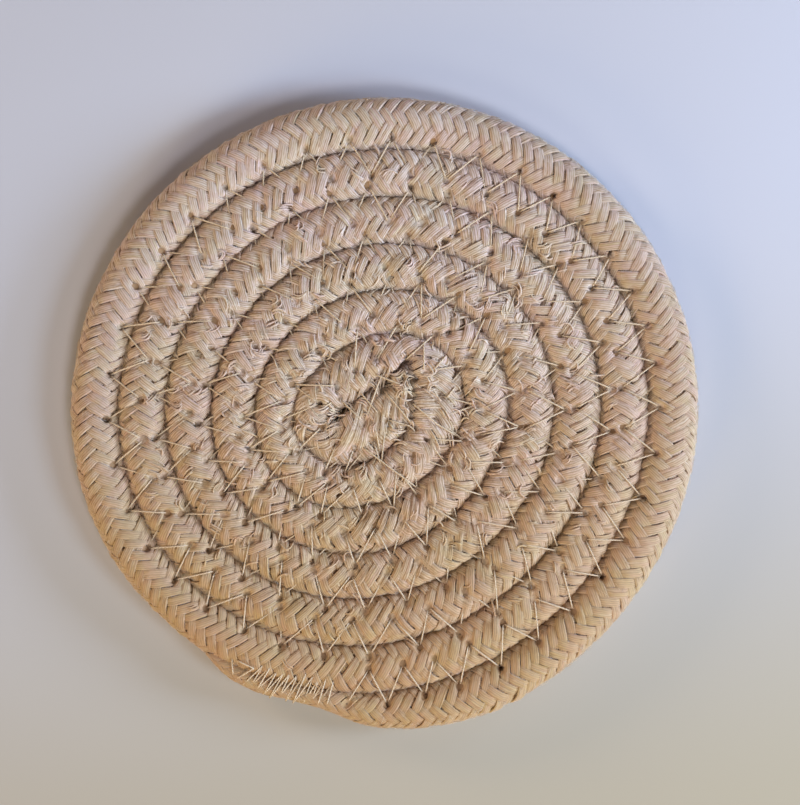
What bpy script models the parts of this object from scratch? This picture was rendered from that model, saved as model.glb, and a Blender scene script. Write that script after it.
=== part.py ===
"""A round table mat coiled from one braided cotton rope.

The rope starts at the middle as a short leg folded back on itself, then runs clockwise, seen from
above, in turns that lie flat and pressed side by side. Each turn is a nearly round ring that climbs
outwards by one rope width over the same sector of the mat. The rope ends in a squashed tail that
lies along the turn inside it.

Metres, +Z up. The origin is on the table, under the middle of the mat's box. The mat lies flat.
"""

import math

import bmesh
import bpy
from mathutils import Vector

MM = 0.001

# The rope's section
MAT_THICKNESS = 7.2 * MM
TURN_GAP = 0.3 * MM  # left between neighbouring turns, which touch on the real mat
SECTION_SIDES = 12
SECTION_SQUARENESS = 2.6  # 2 is an ellipse; pressed and sewn, the rope is squarer than that

# The coil. A seam is the line between a turn and the next one out: the rope's outer edge.
# Angles are clockwise from +X, seen from above. Turns count from the middle.
FIRST_SEAM_RADIUS = 6.70 * MM
TURN_PITCH = 7.34 * MM
PITCH_GROWTH = 0.117 * MM  # the turns get slacker, so wider, towards the rim
CLIMB_START_DEG = 25.0  # where each turn starts to climb over the one inside it
CLIMB_END_DEG = 185.0
DRIFT_PER_TURN = 0.095 * MM  # each ring lies this much further towards angle 0
COIL_SAG = 0.33 * MM  # the rings lie this far towards 90 degrees
OVAL = 1.35 * MM  # the folded start makes the first turns oval
OVAL_AXIS_DEG = 329.0
OVAL_FADE_TURNS = 4.07
STEPS_PER_TURN = 48
# Where a seam strays from the formula: (turns, half width in turns, how far outwards)
SEAM_BUMPS = (
    (0.27, 0.09, -1.2 * MM),
    (0.49, 0.06, 0.6 * MM),
    (1.26, 0.08, -0.75 * MM),
    (5.76, 0.20, 0.65 * MM),
    (6.02, 0.10, 0.35 * MM),
)

# The rope's start, folded back on itself. Its outer edge follows the seam formula, and its inner
# edge goes along one side of the slit, round the fold, back along the other side and past the cut
# end.
ROPE_START = (
    # turns reached by the outer edge; x, y of the inner edge in mm from the coil's centre
    (0.118, 4.00, 7.45),
    (0.160, 2.10, 5.52),
    (0.205, 0.18, 4.30),
    (0.245, -1.49, 3.16),
    (0.280, -3.15, 2.02),
    (0.315, -4.73, 0.96),
    (0.350, -6.04, -0.18),
    (0.395, -7.18, -1.31),
    (0.445, -7.96, -1.75),
    (0.500, -8.66, -1.40),
    (0.555, -8.66, -0.44),
    (0.600, -7.79, 0.18),
    (0.640, -6.13, 0.88),
    (0.675, -4.29, 2.10),
    (0.708, -2.63, 3.33),
    (0.742, -0.88, 4.55),
    (0.775, 1.05, 5.78),
    (0.808, 2.80, 6.91),
    (0.845, 3.85, 8.58),
    (0.890, 4.73, 8.31),
    (0.935, 4.90, 6.91),
    (0.980, 4.81, 4.73),
    (1.025, 4.81, 2.10),
    (1.070, 4.81, -0.88),
)
FIRST_COILED_TURN = 1.12  # both edges follow the formula from here on
START_STEPS_PER_ROW = 2
END_STEPS_PER_ROW = 2

# The rope's end, squashed flat where it is sewn down along the turn inside it
ROPE_END = (
    # turns, width, height (shares of the full rope's)
    (6.195, 1.00, 1.00),
    (6.230, 0.86, 0.98),
    (6.255, 0.68, 0.92),
    (6.275, 0.46, 0.84),
    (6.295, 0.34, 0.76),
    (6.315, 0.37, 0.70),
    (6.335, 0.31, 0.62),
    (6.350, 0.18, 0.52),
    (6.358, 0.08, 0.45),
)

ROPE_COLOUR = (0.42, 0.30, 0.205, 1.0)
ROPE_ROUGHNESS = 0.92


def smooth_step(share):
    """0 before 0, 1 after 1, with a smooth rise between."""
    share = min(max(share, 0.0), 1.0)
    return share * share * (3.0 - 2.0 * share)


def seam_radius(turns):
    """The outer edge of the rope, from the coil's centre, after this many turns."""
    lap = math.floor(turns)
    degrees = 360.0 * (turns - lap)
    climbed = lap + smooth_step((degrees - CLIMB_START_DEG) / (CLIMB_END_DEG - CLIMB_START_DEG))
    angle = math.radians(degrees)
    radius = FIRST_SEAM_RADIUS + TURN_PITCH * climbed + PITCH_GROWTH * climbed**2
    radius += DRIFT_PER_TURN * climbed * math.cos(angle) + COIL_SAG * math.sin(angle)
    oval = OVAL * math.exp(-climbed / OVAL_FADE_TURNS)
    radius += oval * math.cos(2.0 * (angle - math.radians(OVAL_AXIS_DEG)))
    for where, half_width, rise in SEAM_BUMPS:
        radius += rise * math.exp(-(((turns - where) / half_width) ** 2))
    return radius


def outward(turns):
    return Vector((math.cos(math.tau * turns), -math.sin(math.tau * turns)))


def outer_edge(turns):
    return outward(turns) * (seam_radius(turns) - TURN_GAP / 2.0)


def inner_edge(turns):
    return outward(turns) * (seam_radius(turns - 1.0) + TURN_GAP / 2.0)


def coiled_station(turns, width_share=1.0, height_share=1.0):
    """(inner edge, outer edge, height) of the rope on the formula's coil."""
    inner = inner_edge(turns)
    outer = inner.lerp(outer_edge(turns), width_share)
    return inner, outer, MAT_THICKNESS * height_share


def curve_point(rows, place):
    """A smooth curve through rows of numbers, read at a place counted in rows."""
    i = min(int(place), len(rows) - 2)
    t = place - i
    point = []
    for before, a, b, after in zip(rows[max(i - 1, 0)], rows[i], rows[i + 1], rows[min(i + 2, len(rows) - 1)]):
        slope_a, slope_b = (b - before) / 2.0, (after - a) / 2.0
        cubic = 2.0 * (a - b) + slope_a + slope_b
        square = 3.0 * (b - a) - 2.0 * slope_a - slope_b
        point.append(a + slope_a * t + square * t**2 + cubic * t**3)
    return point


def start_stations():
    """Stations along the folded start."""
    rows = [(turns, x * MM, y * MM) for turns, x, y in ROPE_START]
    rows.append((FIRST_COILED_TURN, *inner_edge(FIRST_COILED_TURN)))
    stations = []
    for step in range((len(rows) - 1) * START_STEPS_PER_ROW):
        turns, x, y = curve_point(rows, step / START_STEPS_PER_ROW)
        stations.append((Vector((x, y)), outer_edge(turns), MAT_THICKNESS))
    return stations


def coil_stations():
    """Every station of the rope, from its start in the middle to the tip of its end."""
    first = math.ceil(FIRST_COILED_TURN * STEPS_PER_TURN)
    last = math.floor(ROPE_END[0][0] * STEPS_PER_TURN)
    turns = [FIRST_COILED_TURN] + [step / STEPS_PER_TURN for step in range(first, last + 1)]
    stations = start_stations() + [coiled_station(turn) for turn in turns]
    for step in range((len(ROPE_END) - 1) * END_STEPS_PER_ROW + 1):
        stations.append(coiled_station(*curve_point(ROPE_END, step / END_STEPS_PER_ROW)))
    return stations


def section_points(height):
    """(place between inner edge -1 and outer edge 1, height above the table) round a section.

    The section is flat above, below and beside, so that the mat lies flat and its turns face each
    other.
    """
    points = []
    power = 2.0 / SECTION_SQUARENESS
    crest = math.cos(math.pi / SECTION_SIDES) ** power
    for i in range(SECTION_SIDES):
        angle = math.tau * (i + 0.5) / SECTION_SIDES
        x, z = math.cos(angle), math.sin(angle)
        side = math.copysign(abs(x) ** power, x) / crest
        rise = math.copysign(abs(z) ** power, z) / crest
        points.append((side, MAT_THICKNESS / 2.0 + rise * height / 2.0))
    return points


def box_middle(stations):
    """The middle, in plan, of the box round the coil."""
    edges = [edge for inner, outer, _ in stations for edge in (inner, outer)]
    return Vector([(max(edge[k] for edge in edges) + min(edge[k] for edge in edges)) / 2.0 for k in (0, 1)])


def rope_mesh(stations):
    """One closed tube through the stations."""
    shape = bmesh.new()
    centre = box_middle(stations)
    rings = []
    for inner, outer, height in stations:
        ring = []
        for side, z in section_points(height):
            place = inner.lerp(outer, (side + 1.0) / 2.0) - centre
            ring.append(shape.verts.new((place.x, place.y, z)))
        rings.append(ring)
    for ring, following in zip(rings, rings[1:]):
        for i in range(SECTION_SIDES):
            j = (i + 1) % SECTION_SIDES
            shape.faces.new((ring[i], following[i], following[j], ring[j]))
    shape.faces.new(rings[0])
    shape.faces.new(reversed(rings[-1]))
    bmesh.ops.recalc_face_normals(shape, faces=shape.faces)
    mesh = bpy.data.meshes.new("rope_coil")
    shape.to_mesh(mesh)
    shape.free()
    mesh.shade_smooth()
    return mesh


def cotton():
    material = bpy.data.materials.new("braided_cotton")
    material.use_nodes = True
    shader = material.node_tree.nodes["Principled BSDF"]
    shader.inputs["Base Color"].default_value = ROPE_COLOUR
    shader.inputs["Roughness"].default_value = ROPE_ROUGHNESS
    shader.inputs["Metallic"].default_value = 0.0
    return material


def clear_scene():
    for thing in list(bpy.data.objects):
        bpy.data.objects.remove(thing)


def main():
    clear_scene()
    rope = bpy.data.objects.new("rope_coil", rope_mesh(coil_stations()))
    rope.data.materials.append(cotton())
    bpy.context.scene.collection.objects.link(rope)


main()
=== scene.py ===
"""A round table mat coiled from one braided cotton rope, its turns sewn together with zigzag thread.

The rope is a core under sixteen strands of five yarns, eight winding each way, braided two over and
two under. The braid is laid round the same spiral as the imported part, and then pressed down and
parted where the needle and the thread pull it. Loose yarns and fibres lie on the strands. Lengths
are in metres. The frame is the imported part's: +Z up, the origin on the table under the middle of
the mat's box.
"""

import math

import bpy
import numpy as np
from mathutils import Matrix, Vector, kdtree


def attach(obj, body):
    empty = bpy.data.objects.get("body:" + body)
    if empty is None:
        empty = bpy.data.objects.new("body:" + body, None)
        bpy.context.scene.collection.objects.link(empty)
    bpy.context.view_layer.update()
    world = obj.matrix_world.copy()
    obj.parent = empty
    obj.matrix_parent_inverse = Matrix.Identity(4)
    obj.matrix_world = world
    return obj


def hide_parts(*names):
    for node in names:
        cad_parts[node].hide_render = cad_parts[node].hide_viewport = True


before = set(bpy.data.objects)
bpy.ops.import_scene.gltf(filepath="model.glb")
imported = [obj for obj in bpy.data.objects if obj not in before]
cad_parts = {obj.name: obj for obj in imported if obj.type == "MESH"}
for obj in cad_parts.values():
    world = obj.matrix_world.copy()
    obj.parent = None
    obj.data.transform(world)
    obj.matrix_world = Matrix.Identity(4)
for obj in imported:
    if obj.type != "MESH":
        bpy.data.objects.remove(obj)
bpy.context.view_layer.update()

MM = 0.001

# -------------------- the rope's path, as in the part
# Angles are clockwise from +X, seen from above. Turns count from the middle.
MAT_THICKNESS = 7.2 * MM
TURN_GAP = 0.3 * MM
SECTION_SQUARENESS = 2.2  # rounder than the part's, which has flat faces to rest on
FIRST_SEAM_RADIUS = 6.70 * MM
TURN_PITCH = 7.34 * MM
PITCH_GROWTH = 0.117 * MM
CLIMB_START_DEG = 25.0
CLIMB_END_DEG = 185.0
DRIFT_PER_TURN = 0.095 * MM
COIL_SAG = 0.33 * MM
OVAL = 1.35 * MM
OVAL_AXIS_DEG = 329.0
OVAL_FADE_TURNS = 4.07
SEAM_BUMPS = (
    # turns, half width in turns, how far outwards
    (0.27, 0.09, -1.2 * MM),
    (0.49, 0.06, 0.6 * MM),
    (1.26, 0.08, -0.75 * MM),
    (5.76, 0.20, 0.65 * MM),
    (6.02, 0.10, 0.35 * MM),
)
ROPE_START = (
    # turns reached by the outer edge; x, y of the inner edge in mm from the coil's centre
    (0.118, 4.00, 7.45),
    (0.160, 2.10, 5.52),
    (0.205, 0.18, 4.30),
    (0.245, -1.49, 3.16),
    (0.280, -3.15, 2.02),
    (0.315, -4.73, 0.96),
    (0.350, -6.04, -0.18),
    (0.395, -7.18, -1.31),
    (0.445, -7.96, -1.75),
    (0.500, -8.66, -1.40),
    (0.555, -8.66, -0.44),
    (0.600, -7.79, 0.18),
    (0.640, -6.13, 0.88),
    (0.675, -4.29, 2.10),
    (0.708, -2.63, 3.33),
    (0.742, -0.88, 4.55),
    (0.775, 1.05, 5.78),
    (0.808, 2.80, 6.91),
    (0.845, 3.85, 8.58),
    (0.890, 4.73, 8.31),
    (0.935, 4.90, 6.91),
    (0.980, 4.81, 4.73),
    (1.025, 4.81, 2.10),
    (1.070, 4.81, -0.88),
)
FIRST_COILED_TURN = 1.12
ROPE_END = (
    # turns, width, height (shares of the full rope's); the tip is a little shorter than the part's
    (6.195, 1.00, 1.00),
    (6.230, 0.86, 0.98),
    (6.255, 0.68, 0.92),
    (6.275, 0.46, 0.84),
    (6.295, 0.34, 0.76),
    (6.315, 0.37, 0.70),
    (6.332, 0.30, 0.62),
    (6.343, 0.17, 0.52),
    (6.349, 0.08, 0.45),
)
FULL_HALF_WIDTH = 4.0 * MM
SQUASHED_HALF_WIDTH = 1.6 * MM  # at the rope's end
START_STEPS = 12  # rows of the rope's table for each row of ROPE_START
END_STEPS = 8

# -------------------- where the cotton strays from it
SLIT_CLOSING = 0.45 * MM  # the folded start is pressed shut, twice as much at its cut end
CUT_END_HALF_WIDTH = 0.05  # turns
FOLD_OPEN = 0.3  # share by which it is pressed less at the fold
FOLD_TURN = 0.50
FOLD_HALF_WIDTH = 0.09  # turns
CUT_END_SPREAD = 1.3 * MM
END_TUCK = 0.7 * MM  # the squashed end is pressed into the turn inside it
END_TUCK_FROM = 6.255  # turns

# -------------------- the braid
STRANDS_EACH_WAY = 8
LAY = 16.7 * MM  # one strand's advance along the rope in one turn round it
YARNS = 5
STRAND_DEPTH = 0.80 * MM  # from the rope's surface down to the mean height of the strands
WEAVE_RISE = 0.20 * MM  # how far a strand rises over, and dips under, that height
WEAVE_STEEPNESS = 1.6  # above 1, a strand runs level between its climbs
STRAND_CROWN = 0.12 * MM
STRAND_EDGE_DROP = 0.17 * MM
YARN_CREST = 0.135 * MM
STRAND_SHARE = 1.02  # of the pitch between strands
CORE_DEPTH = 1.12 * MM
FOLD_CORE_DEPTH = 1.05 * MM
FOLD_CORE_HALF_WIDTH = 0.12  # turns
CORE_SIDES = 14
CORE_STEP = 1.8 * MM
CORE_BAKE_ROWS = 12  # rows that it takes in the map OFBake
STRAND_BAKE_ROWS = 22
SIDE_SWELL = 0.92 * MM  # the turns bulge over the part's gap and press on each other
START_SWELL = 0.52 * MM  # on the inner side of the folded start
RIM_SWELL = 0.30 * MM  # on the rim's free side
RIM_TURNS = (5.30, 5.40)  # turns over which the rope's outer side becomes free
TOP_SWELL = 0.12 * MM
# How uneven the strands and yarns are: (size, length of a wave)
STRAND_SHIFT = (0.07, 5.0 * MM)  # sideways, in crossings
STRAND_WIDTH = (0.06, 6.0 * MM)  # share of the width
STRAND_LIFT = (0.07 * MM, 4.0 * MM)
YARN_HEIGHT = (0.4, 3.0 * MM)  # share of the crest
YARN_SHIFT = (0.05, 3.0 * MM)  # share of half a strand
# Turns of the coil, how many times as uneven: most in the folded start, least on the rim
LOOSENESS = ((0.8, 2.3), (1.3, 1.8), (3.6, 1.5), (5.1, 1.15), (5.4, 1.0))
BRAID_TWIST = (
    # turns of the coil, degrees by which the braid is turned about the rope
    (0.0, 10.0), (1.0, -15.0), (2.0, 30.0), (3.0, 0.0), (4.0, 40.0),
    (5.0, 5.0), (5.5, 25.0), (5.75, 46.0), (6.0, 41.0), (6.4, 30.0),
)

# -------------------- the sewing
STITCH_STEP = 6.2 * MM
OUTER_HOLE = 2.0 * MM  # from the seam, on the turn outside it
INNER_HOLE = 4.4 * MM  # from the seam, on the turn inside it
THREAD_RADIUS = 0.145 * MM
FIRST_STITCH_LENGTH = 7.0 * MM  # before the first row
FIRST_STITCH_ROW = 141  # of the rope's table, just past the fold
STITCH_STRAY = 0.22 * MM  # of the needle holes, along the seam
REACH_STRAY = 0.15 * MM  # and away from it
STITCHES_AT = (
    # turns of the coil at a needle hole on the outer side, stitches since the row before
    # (0 for as many as fit), four to a line
    (1.250, 1), (1.328, 1), (1.366, 1), (1.429, 1),
    (1.545, 2), (1.996, 0), (2.056, 1), (2.118, 1),
    (2.180, 1), (2.230, 1), (2.281, 1), (2.329, 1),
    (2.368, 1), (2.665, 0), (2.711, 1), (2.759, 1),
    (2.799, 1), (2.844, 1), (2.932, 2), (2.978, 1),
    (3.019, 1), (3.066, 1), (3.110, 1), (3.154, 1),
    (3.197, 1), (3.238, 1), (3.279, 1), (3.317, 1),
    (3.422, 3), (3.455, 1), (3.490, 1), (3.522, 1),
    (3.699, 5), (3.736, 1), (3.775, 1), (3.809, 1),
    (3.961, 4), (3.999, 1), (4.037, 1), (4.075, 1),
    (4.193, 3), (4.227, 1), (4.261, 1), (4.294, 1),
    (4.454, 5), (4.481, 1), (4.512, 1), (4.534, 1),
    (4.772, 8), (4.800, 1), (4.953, 5), (4.984, 1),
    (5.014, 1), (5.047, 1), (5.074, 1), (5.196, 4),
    (5.225, 1), (5.256, 1), (5.285, 1), (5.312, 1),
    (5.466, 6), (5.494, 1), (5.521, 1), (5.549, 1),
    (5.731, 7), (5.757, 1), (5.782, 1), (5.809, 1),
    (5.835, 1), (5.858, 1), (5.881, 1), (5.906, 1),
    (5.929, 1), (5.952, 1), (5.973, 1), (5.999, 1),
    (6.025, 1), (6.205, 7), (6.227, 1), (6.246, 1),
    (6.268, 1),
)
# The oversewing that holds the rope's end down
OVERSEWN = (6.279, 6.324)  # turns
OVERSEW_STEP = 0.62 * MM
OVERSEW_SLANT = 1.25 * MM
OVERSEW_INNER = 2.0 * MM
OVERSEW_OUTER = 2.9 * MM
OVERSEW_STRAY = (0.10 * MM, 0.35 * MM)  # of its holes, along the seam and away from it
# How the stitches press the rope: (depth, radius)
OUTER_PIT = (1.9 * MM, 0.36 * MM)
INNER_PIT = (1.3 * MM, 0.40 * MM)
OUTER_DISH = (0.16 * MM, 1.2 * MM)
INNER_DISH = (0.30 * MM, 1.6 * MM)
THREAD_CUT = (0.24 * MM, 0.45 * MM)
THREAD_DISH = (0.10 * MM, 1.1 * MM)
PARTING = (0.16 * MM, 0.40 * MM)  # how far the needle pushes the yarns aside, and its radius
PRESS_REACH = (4.0 * MM, 2.5 * MM)  # of a hole, of a thread
PRESSED_UNDER = 0.7  # share by which the underside is pressed
# The cotton has closed over the holes of the inner turns: (distance from the middle, openness)
OPENNESS_FROM = (34.0 * MM, 0.5)
OPENNESS_TO = (46.0 * MM, 1.0)
# The painted shade round a needle hole:
HOLE_SHADE_REACH = 2.0 * MM  # from a hole
HOLE_SHADE_FADE = 0.8 * MM  # the last part of it
# How deep the thread lies in the cotton
THREAD_BURIED = 0.34  # mm, at most, on the inner turns
RIM_BURIED = 0.35  # share of that on the rim
RIM_HOLES_FROM = 0.76  # share of the holes before the rim's
HIDDEN_SHARE = 0.2  # of the stitches, which lie deeper
FAR_SIDE_HIDDEN = 0.5  # added to it towards the mat's upper left
FAR_SIDE_AT = 70.0 * MM
HIDDEN_DEPTH = 0.5  # mm
OVERSEWN_BURIED = (0.05, 0.35)  # mm
# How far the thread's ends sink at a needle hole
OUTER_SUNK = 0.8 * MM
INNER_SUNK = 0.3 * MM
OVERSEWN_SUNK = 0.35 * MM
LOOSE_SUNK = 0.4 * MM
# Threads that cross the middle and the rope's end: their corners in the part's frame, in mm
LOOSE_THREADS = (
    ((-4.1, 3.5), (-1.1, 0.0)),
    ((-6.0, 1.6), (-4.1, -1.2)),
    ((-1.5, 6.7), (3.1, 4.9)),
    ((4.8, 1.8), (9.2, -1.9), (12.7, -4.0)),
    ((6.9, 12.4), (6.9, 7.5)),
    ((10.8, 10.0), (8.5, 7.5)),
    ((-1.5, -2.8), (-0.8, -6.6)),
    ((-3.6, -6.1), (5.5, -12.9)),
    ((10.8, 2.6), (12.5, 4.7)),
    ((-26.7, -43.0), (-26.5, -45.8)),
    ((-25.8, -43.2), (-22.8, -44.6), (-25.8, -46.4)),
)

# -------------------- loose cotton
START_LENGTH = 62.0 * MM  # of the folded start, along the rope
RIM_START = 860.0 * MM  # along the rope; the rim is neater
LOOSE_BUNCHES = 260
LOOSE_PLACES = (0.65, 1.2)  # of the beta distribution, which puts most of them near the middle
LOOSE_SLOPE_DEG = (52.0, 16.0)  # from the rope's direction: mean and spread
LOOSE_HALF_LENGTH = (0.8, 1.7)  # mm, from least to most
LOOSE_BEND = 0.55  # share of the half length
LOOSE_PITCH = 0.33 * MM  # between the yarns of a bunch
LOOSE_LIFT = (-0.12, 0.03)  # mm
LOOSE_RADIUS = (0.13, 0.18)  # mm
LOOSE_END_SUNK = 0.7 * MM
FIBRES = 2200
RIM_FIBRES = 0.5  # share on the rim's free side
FIBRE_LENGTH = (0.8, 2.6)  # mm
FIBRE_RISE = (0.08, 0.55)  # mm
FIBRE_RADIUS = 0.026 * MM
FIBRE_ROOT = 0.45 * MM  # below the rope's surface

rng = np.random.default_rng(20)


def smooth_step(share):
    """0 before 0, 1 after 1, with a smooth rise between."""
    share = np.clip(share, 0.0, 1.0)
    return share * share * (3.0 - 2.0 * share)


def bump(place, where, half_width):
    """1 at where, fading to 0 beyond half_width on either side."""
    return np.exp(-(((place - where) / half_width) ** 2))


def lengths_along(points):
    """The length along a line of points, at each of them."""
    steps = np.linalg.norm(np.diff(points, axis=0), axis=1)
    return np.concatenate([[0.0], np.cumsum(steps)])


def unit(vectors):
    return vectors / np.linalg.norm(vectors, axis=-1, keepdims=True)


def curve_through(rows, steps):
    """Points on a smooth curve through rows of numbers, steps to each gap between rows."""
    rows = np.asarray(rows, float)
    padded = np.vstack([rows[:1], rows, rows[-1:]])
    before, a, b, after = padded[:-3], padded[1:-2], padded[2:-1], padded[3:]
    slope_a, slope_b = (b - before) / 2.0, (after - a) / 2.0
    cubic = 2.0 * (a - b) + slope_a + slope_b
    square = 3.0 * (b - a) - 2.0 * slope_a - slope_b
    t = (np.arange(steps) / steps)[:, None, None]
    points = a + slope_a * t + square * t**2 + cubic * t**3
    points = points.transpose(1, 0, 2).reshape(-1, rows.shape[1])
    return np.vstack([points, rows[-1:]])


def seam_radius(turns):
    """The rope's outer edge, from the coil's centre, after this many turns."""
    turns = np.asarray(turns, float)
    lap = np.floor(turns)
    degrees = 360.0 * (turns - lap)
    climbed = lap + smooth_step((degrees - CLIMB_START_DEG) / (CLIMB_END_DEG - CLIMB_START_DEG))
    angle = np.radians(degrees)
    radius = FIRST_SEAM_RADIUS + TURN_PITCH * climbed + PITCH_GROWTH * climbed**2
    radius += DRIFT_PER_TURN * climbed * np.cos(angle) + COIL_SAG * np.sin(angle)
    oval = OVAL * np.exp(-climbed / OVAL_FADE_TURNS)
    radius += oval * np.cos(2.0 * (angle - math.radians(OVAL_AXIS_DEG)))
    for where, half_width, rise in SEAM_BUMPS:
        radius += rise * bump(turns, where, half_width)
    return radius


def outward(turns):
    """The direction away from the coil's centre."""
    angle = math.tau * np.asarray(turns, float)
    return np.stack([np.cos(angle), -np.sin(angle)], -1)


def outer_edge(turns):
    return outward(turns) * (seam_radius(turns) - TURN_GAP / 2.0)[..., None]


def inner_edge(turns):
    return outward(turns) * (seam_radius(np.asarray(turns) - 1.0) + TURN_GAP / 2.0)[..., None]


def rope_table():
    """Dense rows along the rope: length, turns, inner edge, outer edge, height."""
    start_rows = [(turns, x * MM, y * MM) for turns, x, y in ROPE_START]
    start_rows.append((FIRST_COILED_TURN, *inner_edge(FIRST_COILED_TURN)))
    start = curve_through(start_rows, START_STEPS)[:-1]
    coil = np.arange(FIRST_COILED_TURN, ROPE_END[0][0], 1.0 / 360.0)
    end = curve_through(ROPE_END, END_STEPS)
    end_inner, end_outer = inner_edge(end[:, 0]), outer_edge(end[:, 0])
    end_outer = end_inner + (end_outer - end_inner) * end[:, 1:2]
    turns = np.concatenate([start[:, 0], coil, end[:, 0]])
    inner = np.vstack([start[:, 1:], inner_edge(coil), end_inner])
    outer = np.vstack([outer_edge(start[:, 0]), outer_edge(coil), end_outer])
    height = np.full(len(turns), MAT_THICKNESS)
    height[-len(end) :] *= end[:, 2]
    edges = np.vstack([inner, outer])
    centre = (edges.max(0) + edges.min(0)) / 2.0

    # The folded start is pressed shut, and the end is pressed inwards
    closing = SLIT_CLOSING * (1.0 + bump(turns, ROPE_START[0][0], CUT_END_HALF_WIDTH))
    closing = closing * smooth_step((FIRST_COILED_TURN - turns) / 0.08)
    closing *= 1.0 - FOLD_OPEN * bump(turns, FOLD_TURN, FOLD_HALF_WIDTH)
    direction = unit(outer - inner)
    tuck = END_TUCK * smooth_step((turns - END_TUCK_FROM) / 0.03)
    inner = inner - direction * (closing + tuck)[:, None]
    outer = outer - direction * tuck[:, None]

    # One more row takes the cut end further
    middle = (inner + outer) / 2.0
    step = unit(middle[1] - middle[0]) * CUT_END_SPREAD
    turns, height = np.append(turns[0], turns), np.append(height[0], height)
    inner, outer = np.vstack([inner[0] - step, inner]), np.vstack([outer[0] - step, outer])
    length = lengths_along((inner + outer) / 2.0)
    return length, turns, inner - centre, outer - centre, height


ROPE_S, ROPE_TURNS, ROPE_INNER, ROPE_OUTER, ROPE_HEIGHT = rope_table()
ROPE_LENGTH = ROPE_S[-1]


def along(column, s):
    """A column of the rope's table at lengths s along it."""
    if column.ndim == 1:
        return np.interp(s, ROPE_S, column)
    return np.stack([np.interp(s, ROPE_S, column[:, k]) for k in range(column.shape[1])], -1)


def by_turns(rows, s):
    """The value in rows of (turns of the coil, value), at lengths s along the rope."""
    turns, values = zip(*rows)
    return np.interp(along(ROPE_TURNS, s), turns, values)


def section_table(half_width, half_height):
    """A section of the rope at equal steps of length round it, from the outer side over the top."""
    angle = np.linspace(0.0, math.tau, 1441)
    power = 2.0 / SECTION_SQUARENESS
    x = np.sign(np.cos(angle)) * np.abs(np.cos(angle)) ** power
    z = np.sign(np.sin(angle)) * np.abs(np.sin(angle)) ** power
    steps = np.hypot(np.diff(x) * half_width, np.diff(z) * half_height)
    length = np.concatenate([[0.0], np.cumsum(steps)])
    return length / length[-1] * math.tau, x, z


FULL_SECTION = section_table(FULL_HALF_WIDTH, MAT_THICKNESS / 2.0)
SQUASHED_SECTION = section_table(SQUASHED_HALF_WIDTH, MAT_THICKNESS / 3.0)


def section(angle, table=FULL_SECTION):
    """How far outwards and how high a point of the section is, each from -1 to 1."""
    angle = np.mod(angle, math.tau)
    return np.stack([np.interp(angle, table[0], table[1]), np.interp(angle, table[0], table[2])])


def on_rope(s, angle, depth):
    """Points at length s along the rope, angle round it, and depth below its surface."""
    inner, outer = along(ROPE_INNER, s), along(ROPE_OUTER, s)
    turns, height = along(ROPE_TURNS, s), along(ROPE_HEIGHT, s)
    across = outer - inner
    half_width = np.linalg.norm(across, axis=-1) / 2.0
    thinning = np.minimum(1.0, half_width / FULL_HALF_WIDTH)
    squashed = smooth_step((0.8 - thinning) / 0.45)
    side, rise = section(angle) * (1.0 - squashed) + section(angle, SQUASHED_SECTION) * squashed
    thinning = np.maximum(thinning, 0.5)
    free = smooth_step((turns - RIM_TURNS[0]) / (RIM_TURNS[1] - RIM_TURNS[0]))
    outer_swell = SIDE_SWELL + (RIM_SWELL - SIDE_SWELL) * free
    inner_swell = START_SWELL + (SIDE_SWELL - START_SWELL) * smooth_step((turns - 1.0) / 0.15)
    swell = np.where(side > 0.0, outer_swell, inner_swell)
    reach = side * (half_width + swell - depth * thinning)
    plan = (inner + outer) / 2.0 + across * (reach / (2.0 * half_width))[..., None]
    flattening = np.minimum(thinning, height / MAT_THICKNESS)
    z = MAT_THICKNESS / 2.0 + rise * (height / 2.0 + TOP_SWELL - depth * flattening)
    return np.concatenate([plan, z[..., None]], -1)


def wander(size, spacing):
    """A smooth random function of the length along the rope, with a new value at every spacing."""
    knots = rng.normal(0.0, size, int(ROPE_LENGTH / spacing) + 3)

    def value(where):
        place = np.clip(np.asarray(where) / spacing, 0.0, len(knots) - 1.001)
        i = place.astype(int)
        share = smooth_step(place - i)
        return knots[i] * (1.0 - share) + knots[i + 1] * share

    return value


# -------------------- the stitches and how they press
def seam_place(s, reach):
    """Points at this distance outwards from the seam on the rope's inner side."""
    inner, outer = along(ROPE_INNER, s), along(ROPE_OUTER, s)
    return inner + unit(outer - inner) * (reach - TURN_GAP / 2.0)[:, None]


def stitch_holes():
    """The zigzag's needle holes in order: their places, and which are on the outer side."""
    first = FIRST_STITCH_ROW
    seam = lengths_along(ROPE_INNER[first:])
    anchors = np.interp([turns for turns, _ in STITCHES_AT], ROPE_TURNS[first:], seam)
    halves = [2 * int(anchors[0] / FIRST_STITCH_LENGTH)]
    for k in range(1, len(anchors)):
        fitting = round((anchors[k] - anchors[k - 1]) / STITCH_STEP)
        halves.append(halves[-1] + 2 * (STITCHES_AT[k][1] or fitting))
    at = np.interp(np.arange(halves[-1] + 1), [0] + halves, [0.0] + list(anchors))
    count = len(at)
    at[1:-1] += rng.normal(0.0, STITCH_STRAY, count - 2)
    is_outer = np.arange(count) % 2 == 0
    reach = np.where(is_outer, OUTER_HOLE, -INNER_HOLE) + rng.normal(0.0, REACH_STRAY, count)
    return seam_place(np.interp(at, seam, ROPE_S[first:]), reach), is_outer


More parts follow.
